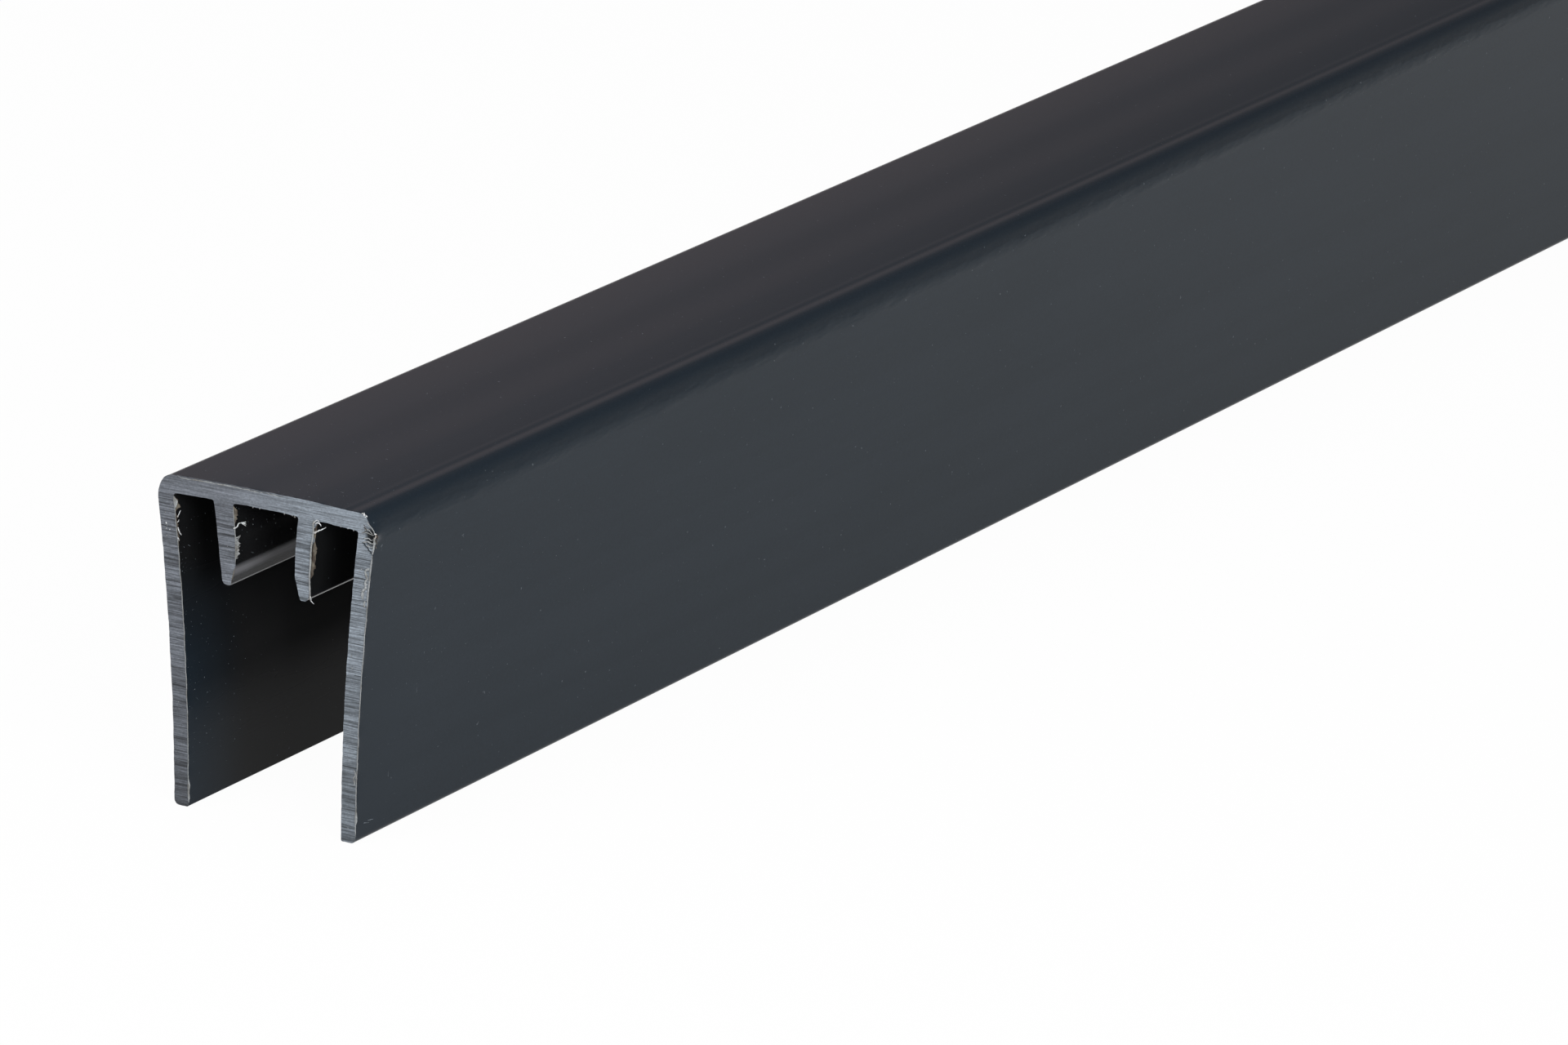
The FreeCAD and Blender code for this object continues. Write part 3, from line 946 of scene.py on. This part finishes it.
# single hairs: radius, then points as x, z and distance in front of the sawn end
WHISKERS = [
    (0.095, [(5.0, 27.06, 0.0), (5.3, 27.22, 0.1), (5.63, 27.41, 0.1), (5.9, 27.56, 0.1),
             (6.2, 27.74, 0.1)]),
    (0.070, [(-3.26, 25.94, 0.0), (-2.85, 26.16, 0.1), (-2.68, 26.48, 0.1), (-2.35, 26.62, 0.1),
             (-1.93, 26.76, 0.1)]),
    (0.060, [(-2.4, 26.6, 0.1), (-2.2, 26.52, 0.1), (-1.93, 26.4, 0.1)]),
    (0.060, [(-2.35, 26.64, 0.1), (-2.05, 26.62, 0.15), (-1.88, 26.58, 0.1)]),
    (0.050, [(4.89, 27.85, 0.0), (5.1, 28.1, 0.05), (5.3, 28.22, 0.05), (5.5, 28.08, 0.1),
             (5.71, 27.86, 0.1)]),
    (0.060, [(5.1, 27.9, 0.05), (5.36, 28.0, 0.1), (5.6, 27.92, 0.1), (5.7, 27.76, 0.1)]),
    (0.070, [(4.62, 21.3, 0.05), (4.68, 20.99, 0.05), (4.8, 20.84, 0.05), (5.02, 20.72, 0.05)]),
    (0.055, [(-9.02, 25.9, 0.0), (-8.86, 26.14, 0.05), (-8.74, 26.4, 0.05), (-8.66, 26.56, 0.05)]),
    (0.060, [(-9.0, 24.98, 0.0), (-8.84, 24.72, 0.05), (-8.66, 24.48, 0.05), (-8.58, 24.36, 0.05)]),
    (0.050, [(-9.02, 25.44, 0.0), (-8.88, 25.56, 0.05), (-8.82, 25.72, 0.05)]),
    (0.045, [(-9.0, 24.1, 0.0), (-8.86, 23.96, 0.05), (-8.82, 23.8, 0.05)]),
]

# even threads that stand up along an edge, in the same form
BEADS = [
    (0.075, [(4.84, 27.95, 0.0), (4.89, 27.06, 0.05), (4.8, 26.2, 0.1), (4.73, 25.58, 0.1),
             (4.68, 24.9, 0.1), (4.66, 24.26, 0.1), (4.58, 23.16, 0.1), (4.56, 22.07, 0.05),
             (4.6, 21.3, 0.05), (4.7, 20.95, 0.05)]),
    (0.085, [(10.42, 24.82, 0.0), (10.16, 24.56, 0.02), (10.24, 24.28, 0.03), (10.3, 24.06, 0.02),
             (10.34, 23.88, 0.0)]),
    (0.100, [(10.34, 23.84, 0.0), (10.16, 23.62, 0.02), (10.22, 23.13, 0.03), (10.02, 22.9, 0.03),
             (9.88, 22.7, 0.0)]),
    (0.105, [(9.92, 22.66, 0.0), (9.86, 22.4, 0.02), (9.9, 22.06, 0.0)]),
    (0.070, [(10.12, 21.9, 0.0), (10.06, 21.62, 0.02), (10.1, 21.4, 0.0)]),
    (0.050, [(9.14, 6.62, 0.0), (9.3, 6.36, 0.02), (9.26, 6.1, 0.02), (9.34, 5.84, 0.0)]),
    (0.050, [(9.16, 6.06, 0.0), (9.1, 5.76, 0.02), (9.22, 5.5, 0.02), (9.14, 5.24, 0.0)]),
    (0.045, [(10.29, 28.94, 0.0), (10.6, 28.66, 0.05), (10.83, 28.44, 0.05), (11.02, 28.26, 0.05),
             (11.08, 28.01, 0.05)]),
]

# torn corner: thin fins across the hollow, and the lip and shreds round it with their material
TORN_FINS = [
    (0.032, [(9.8, 27.88, -0.05), (10.05, 27.98, -0.05), (10.29, 27.96, -0.1), (10.6, 27.88, -0.1),
             (10.96, 27.86, 0.0)]),
    (0.045, [(10.02, 27.44, -0.05), (10.16, 27.47, -0.05), (10.4, 27.48, -0.1),
             (10.64, 27.36, -0.1), (10.88, 27.46, 0.0)]),
    (0.050, [(9.92, 27.08, 0.0), (10.14, 27.16, -0.05), (10.4, 27.2, -0.1), (10.66, 27.08, -0.1),
             (10.96, 27.14, 0.0)]),
    (0.040, [(10.3, 26.86, -0.05), (10.6, 26.76, -0.05), (10.92, 26.84, 0.0)]),
    (0.035, [(10.09, 28.22, -0.05), (10.34, 28.24, -0.1), (10.55, 28.12, -0.1),
             (10.8, 27.96, -0.05)]),
]
TORN_LIP = [
    (0.090, PALE, [(11.06, 28.02, 0.0), (11.24, 27.98, 0.05), (11.19, 27.74, 0.08),
                   (11.1, 27.54, 0.06)]),
    (0.120, BEAD, [(11.08, 27.66, 0.0), (11.06, 27.4, 0.04), (11.08, 27.14, 0.06),
                   (11.0, 26.8, 0.05), (10.92, 26.5, 0.03), (10.84, 26.22, 0.0)]),
    (0.060, RAG, [(11.18, 27.92, 0.05), (11.32, 27.96, 0.1), (11.42, 27.84, 0.12),
                  (11.4, 27.6, 0.1)]),
    (0.050, RAG, [(11.16, 27.5, 0.05), (11.32, 27.38, 0.08), (11.36, 27.16, 0.08)]),
    (0.045, RAG, [(11.08, 27.04, 0.05), (11.22, 26.94, 0.08), (11.26, 26.78, 0.08)]),
    (0.040, RAG, [(10.0, 28.42, 0.0), (10.25, 28.2, 0.02), (10.02, 28.0, 0.02),
                  (9.78, 27.88, 0.0)]),
    (0.035, RAG, [(9.96, 28.62, 0.0), (10.16, 28.5, 0.02), (10.36, 28.56, 0.0)]),
]

FIN_TAPER, FIN_DEPTH = 0.4, 3.0
LIP_TAPER = 0.5

# fringe of short hairs on the left rib
FRINGE_SEED = 4
FRINGE_X = -3.02
FRINGE_LOW, FRINGE_HIGH, FRINGE_STEP = 23.3, 25.2, 0.2
FRINGE_REACH = (0.20, 0.55)
FRINGE_RISE = (0.10, 0.45)
FRINGE_LIFTS = (0.06, 0.08)
FRINGE_RADIUS = (0.045, 0.075)
FRINGE_GAPS = (0.6, 1.5)


def run_of(outline, side, low, high):
    """The places of one side between two heights."""
    return [place for place in outline if place.side == side and low <= place.point.imag <= high]


def sawn_scraps(outline, materials):
    build = Scraps()
    for number, (side, low, high, *sizes) in enumerate(EDGE_STRIPS):
        build.strip(run_of(outline, side, low, high), *sizes, number * STRIP_SEED_STEP)
    strips = new_piece("edge_burrs", build.vertices, build.faces, materials, build.slots)
    thicken = strips.modifiers.new("thickness", "SOLIDIFY")
    thicken.thickness = STRIP_THICKNESS * MM
    thicken.offset = 0.0
    hairs = Scraps()
    for radius, path in WHISKERS:
        hairs.whisker(radius, path)
    for radius, path in BEADS:
        hairs.whisker(radius, path, taper=0.0, slot=BEAD)
    chance = random.Random(FRINGE_SEED)
    height = FRINGE_LOW
    while height < FRINGE_HIGH:
        reach = chance.uniform(*FRINGE_REACH)
        rise = chance.uniform(*FRINGE_RISE)
        middle = (FRINGE_X + reach / 2, height + rise / 3, FRINGE_LIFTS[0])
        tip = (FRINGE_X + reach, height + rise, FRINGE_LIFTS[1])
        radius = chance.uniform(*FRINGE_RADIUS)
        hairs.whisker(radius, [(FRINGE_X, height, 0.0), middle, tip], slot=BEAD)
        height += FRINGE_STEP * chance.uniform(*FRINGE_GAPS)
    return [strips, new_piece("burr_whiskers", hairs.vertices, hairs.faces, materials, hairs.slots)]


def torn_shreds(materials):
    build = Scraps()
    for radius, path in TORN_FINS:
        build.whisker(radius, path, FIN_TAPER, FIN_DEPTH, BEAD)
    for radius, slot, path in TORN_LIP:
        build.whisker(radius, path, LIP_TAPER, slot=slot)
    return new_piece("torn_shreds", build.vertices, build.faces, materials, build.slots)


# crumbs of dust: side, lowest and highest point, how far along, how many, smallest and largest radius
DUST_FIELDS = [
    ("L_leg_inner", 4.0, 26.0, 9.0, 110, 0.018, 0.052),
    ("L_leg_inner", 2.0, 27.0, 40.0, 90, 0.016, 0.034),
    ("L_rib_outer", 21.5, 27.5, 6.0, 30, 0.018, 0.038),
    ("L_rib_grip", 23.0, 28.0, 12.0, 45, 0.020, 0.055),
    ("R_leg_outer", 1.0, 28.0, 60.0, 130, 0.011, 0.023),
    ("R_leg_outer", 13.0, 24.0, 38.0, 60, 0.012, 0.024),
    ("R_leg_outer", 1.0, 28.0, 220.0, 110, 0.013, 0.028),
    ("R_crown", 29.0, 29.9, 8.0, 50, 0.014, 0.032),
    ("L_crown", 29.0, 29.9, 60.0, 30, 0.014, 0.026),
    ("R_crown", 29.0, 29.9, 90.0, 50, 0.014, 0.026),
]
DUST_SEED = 11
DUST_START = 0.3
DUST_CROWDING = 1.7
DUST_STRETCH = (1, 1.8)

# short scratches on the right side: from and to as distance in from the cut and height, and radius
SCRATCHES = [
    ((1.3, 1.55), (2.1, 1.35), 0.020),
    ((1.9, 1.60), (2.7, 1.50), 0.026),
    ((4.9, 5.20), (4.9, 4.70), 0.012),
    ((8.9, 11.2), (8.8, 12.1), 0.012),
]
SCRATCH_TAPER = 0.5


def dust(outline, material):
    """Crumbs scattered over the skin, thickest near the front cut."""
    build = Scraps()
    chance = random.Random(DUST_SEED)
    for side, low, high, depth, amount, smallest, largest in DUST_FIELDS:
        places = run_of(outline, side, low, high)
        for _ in range(amount):
            place = chance.choice(places)
            along = FRONT + DUST_START + depth * chance.random() ** DUST_CROWDING
            point = skin_point(place, along - FRONT, FRONT_SEED, True)
            centre = (point.real, along, point.imag)
            outward = (place.outward.real, 0, place.outward.imag)
            radius = chance.uniform(smallest, largest)
            build.chip(centre, outward, radius, chance, chance.uniform(*DUST_STRETCH))
    side = run_of(outline, "R_leg_outer", 0, HEIGHT)
    for *ends, radius in SCRATCHES:
        path = []
        for inset, height in ends:
            place = min(side, key=lambda near: abs(near.point.imag - height))
            path.append((place.point.real, height, -inset))
        build.whisker(radius, path, SCRATCH_TAPER)
    return new_piece("dust_specks", build.vertices, build.faces, [material])


# crumbs held in the sawn face: x, z and radius, and PALE where they are pale
SAWN_CRUMBS = [
    (9.97, 29.50, 0.13, PALE), (9.80, 29.61, 0.08, PALE), (10.20, 29.45, 0.09, PALE),
    (10.08, 29.34, 0.06, PALE), (-10.20, 25.16, 0.10, PALE), (-10.11, 24.97, 0.05),
    (-10.20, 24.67, 0.05, PALE), (-9.84, 24.64, 0.06, PALE), (-9.67, 26.94, 0.05),
    (-9.84, 26.50, 0.05), (-10.17, 24.04, 0.07), (-10.30, 26.10, 0.05), (10.42, 24.77, 0.13),
    (10.16, 24.54, 0.08), (10.28, 24.30, 0.11), (10.20, 24.06, 0.09), (10.36, 23.88, 0.13),
    (10.12, 23.62, 0.09), (10.24, 23.38, 0.12), (10.12, 23.10, 0.10), (10.02, 22.90, 0.14),
    (9.86, 22.70, 0.10), (9.96, 22.44, 0.13), (9.86, 22.16, 0.10), (10.10, 21.80, 0.12),
    (10.06, 21.48, 0.08), (9.74, 24.62, 0.08), (9.56, 24.40, 0.06), (8.80, 16.80, 0.06),
    (8.85, 15.70, 0.06), (9.24, 6.30, 0.08), (9.20, 5.62, 0.09), (8.55, 1.30, 0.06),
    (-8.90, 9.30, 0.04), (-3.90, 24.20, 0.04), (4.86, 28.04, 0.07), (-1.30, 28.16, 0.07),
    (-0.62, 28.16, 0.06), (1.92, 28.16, 0.07), (2.70, 28.12, 0.06), (7.62, 28.04, 0.06),
    (8.34, 28.00, 0.08), (8.92, 27.96, 0.06), (2.96, 28.06, 0.08),
]
CRUMB_SEED = 23
CRUMB_STRETCH = 1.5


def sawn_crumbs(materials):
    build = Scraps()
    chance = random.Random(CRUMB_SEED)
    for x, z, radius, *pale in SAWN_CRUMBS:
        build.chip((x, FRONT, z), (0, -1, 0), radius, chance, CRUMB_STRETCH, PALE if pale else BEAD)
    return new_piece("sawn_crumbs", build.vertices, build.faces, materials, build.slots)


FLOOR_HALF_SIZE = 6.0
FLOOR_DROP = 0.00005


def studio_floor():
    mesh = bpy.data.meshes.new("studio_floor")
    reach = FLOOR_HALF_SIZE
    corners = [(-reach, -reach), (reach, -reach), (reach, reach), (-reach, reach)]
    mesh.from_pydata([(x, y, -FLOOR_DROP) for x, y in corners], [], [(0, 1, 2, 3)])
    mesh.materials.append(floor_material())
    floor = bpy.data.objects.new("studio_floor", mesh)
    bpy.context.scene.collection.objects.link(floor)


# studio light: dim walls, a lit ceiling and front, a low glow on the right and a warm patch on the left
SKY_DIM = (0.12, 0.12, 0.125)
SKY_CEILING = (0.52, 0.52, 0.54)
SKY_FRONT = (0.50, 0.51, 0.53)
SKY_RIGHT = (1.15, 1.06, 0.98)
SKY_LEFT = (0.63, 0.51, 0.515)
FRONT_HEADING = (0.0, -1.0, 0.0)
RIGHT_HEADING = (0.80, 0.60, 0.0)
LEFT_HEADING = (-0.87, 0.49, 0.0)
CEILING_RISE = (0.76, 0.94)
FRONT_RISE = (0.0, 0.5)
RIGHT_RISE = (0.55, 0.93)
RIGHT_BAND = [(0.0, 0.5), (0.08, 0.7), (0.20, 0.65), (0.32, 0.5), (0.52, 0.40), (0.62, 0.2)]
LEFT_RISE = [(0.10, 0.0), (0.30, 0.21), (0.79, 0.18), (0.865, 1.0)]
LEFT_BAND = [(0.0, 0.35), (0.26, 0.5), (0.3, 0.63), (0.36, 0.72), (0.5, 0.76), (0.66, 0.6), (0.76, 0.0)]
KEY_POWER = 3.75
KEY_SIZE = 0.36
KEY_PLACE = (0.62, -0.87, 0.29)
TOP_POWER = 1.25
TOP_SIZE = 0.36
TOP_PLACE = (-0.05, -0.80, 0.42)
LIGHT_TARGET = (0.0, -0.45, 0.015)


def studio_world():
    world = bpy.data.worlds.new("studio")
    bpy.context.scene.world = world
    world.use_nodes = True
    graph = Graph(world.node_tree)
    heading = graph.add_node("TexCoord")["Generated"]
    height = graph.axis(heading, "Z")

    def facing(way):
        return graph.add_node("VectorMath", {0: heading, 1: way}, operation="DOT_PRODUCT")["Value"]

    front = graph.span(facing(FRONT_HEADING), *FRONT_RISE)
    right = graph.span(facing(RIGHT_HEADING), *RIGHT_RISE)
    right = graph.times(right, graph.ramp(height, RIGHT_BAND))
    left = graph.ramp(facing(LEFT_HEADING), LEFT_RISE)
    left = graph.times(left, graph.ramp(height, LEFT_BAND))
    colour = graph.mix(front, SKY_DIM, SKY_FRONT)
    colour = graph.mix(right, colour, SKY_RIGHT)
    colour = graph.mix(left, colour, SKY_LEFT)
    colour = graph.mix(graph.span(height, *CEILING_RISE), colour, SKY_CEILING)
    graph.fill(graph.nodes["Background"], {"Color": colour, "Strength": 1.0})


def softbox(name, power, size, place):
    """Square area light that faces the cut end and leaves no glare on the satin skin."""
    lamp = bpy.data.lights.new(name, "AREA")
    lamp.energy = power
    lamp.size = size
    holder = bpy.data.objects.new(name, lamp)
    holder.location = place
    aim = Vector(LIGHT_TARGET) - Vector(place)
    holder.rotation_euler = aim.to_track_quat("-Z", "Y").to_euler()
    holder.visible_glossy = False
    bpy.context.scene.collection.objects.link(holder)


CAMERA_PLACE = (0.4702, -1.1993, 0.2957)
CAMERA_AZIMUTH = 30.93
CAMERA_ELEVATION = 17.65
CAMERA_ROLL = 1.12
CAMERA_LENS = 239.475
CAMERA_SENSOR = 36.0


def studio_camera():
    lens = bpy.data.cameras.new("camera")
    lens.lens = CAMERA_LENS
    lens.sensor_width = CAMERA_SENSOR
    lens.dof.use_dof = False
    camera = bpy.data.objects.new("camera", lens)
    turn = Matrix.Rotation(math.radians(CAMERA_AZIMUTH), 4, "Z")
    tilt = Matrix.Rotation(math.radians(90 - CAMERA_ELEVATION), 4, "X")
    roll = Matrix.Rotation(math.radians(CAMERA_ROLL), 4, "Z")
    camera.matrix_world = Matrix.Translation(CAMERA_PLACE) @ turn @ tilt @ roll
    bpy.context.scene.collection.objects.link(camera)
    bpy.context.scene.camera = camera


def belong(piece):
    """Let a piece ride on the profile's body."""
    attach(piece, BODY)


noise.seed_set(WANDER_SEED)
studio_camera()
outline = whole_outline()
skin = skin_material("satin_pvc", PVC_COLOUR, PVC_LIGHTER, PVC_ROUGHNESS, PVC_SPECULAR, painted_light_near_cut)
# the inner faces and the ribs take the darker copy of the PVC colour as painted shade
inner_skin = skin_material("inner_pvc", SHADED_INNER_COLOUR, SHADED_INNER_COLOUR, INNER_ROUGHNESS, INNER_SPECULAR,
                           painted_fill_band, painted_light_near_cut)
# the ribs add a painted sheen on the bevel and a painted highlight on the tips' edge
rib_skin = skin_material("rib_pvc", SHADED_INNER_COLOUR, SHADED_INNER_COLOUR, RIB_ROUGHNESS, RIB_SPECULAR, painted_light_near_cut, painted_rib_sheen)
burrs = [shaving_material("pvc_shavings", BURR_PALE, BURR_BROWN, balance=0.62),
         shaving_material("pvc_beads", BEAD_PALE, BEAD_DARK, balance=0.58),
         # the ragged burrs are a darker copy of the shavings: their brownish colour plus painted shade
         shaving_material("pvc_rags_painted_shade", SHADED_RAG_PALE, SHADED_RAG_DARK, balance=0.45)]
crumb = shaving_material("pvc_dust", DUST_PALE, DUST_DIM, balance=0.5)
body = profile(outline, [skin, sawn_material(), inner_skin, rib_skin])
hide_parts(NODE)
scraps = [*sawn_scraps(outline, burrs), torn_shreds(burrs), sawn_crumbs(burrs), dust(outline, crumb)]
for piece in (body, *scraps):
    belong(piece)

studio_floor()
studio_world()
softbox("key_softbox", KEY_POWER, KEY_SIZE, KEY_PLACE)
softbox("top_softbox", TOP_POWER, TOP_SIZE, TOP_PLACE)
bpy.context.scene.view_settings.view_transform = "Standard"
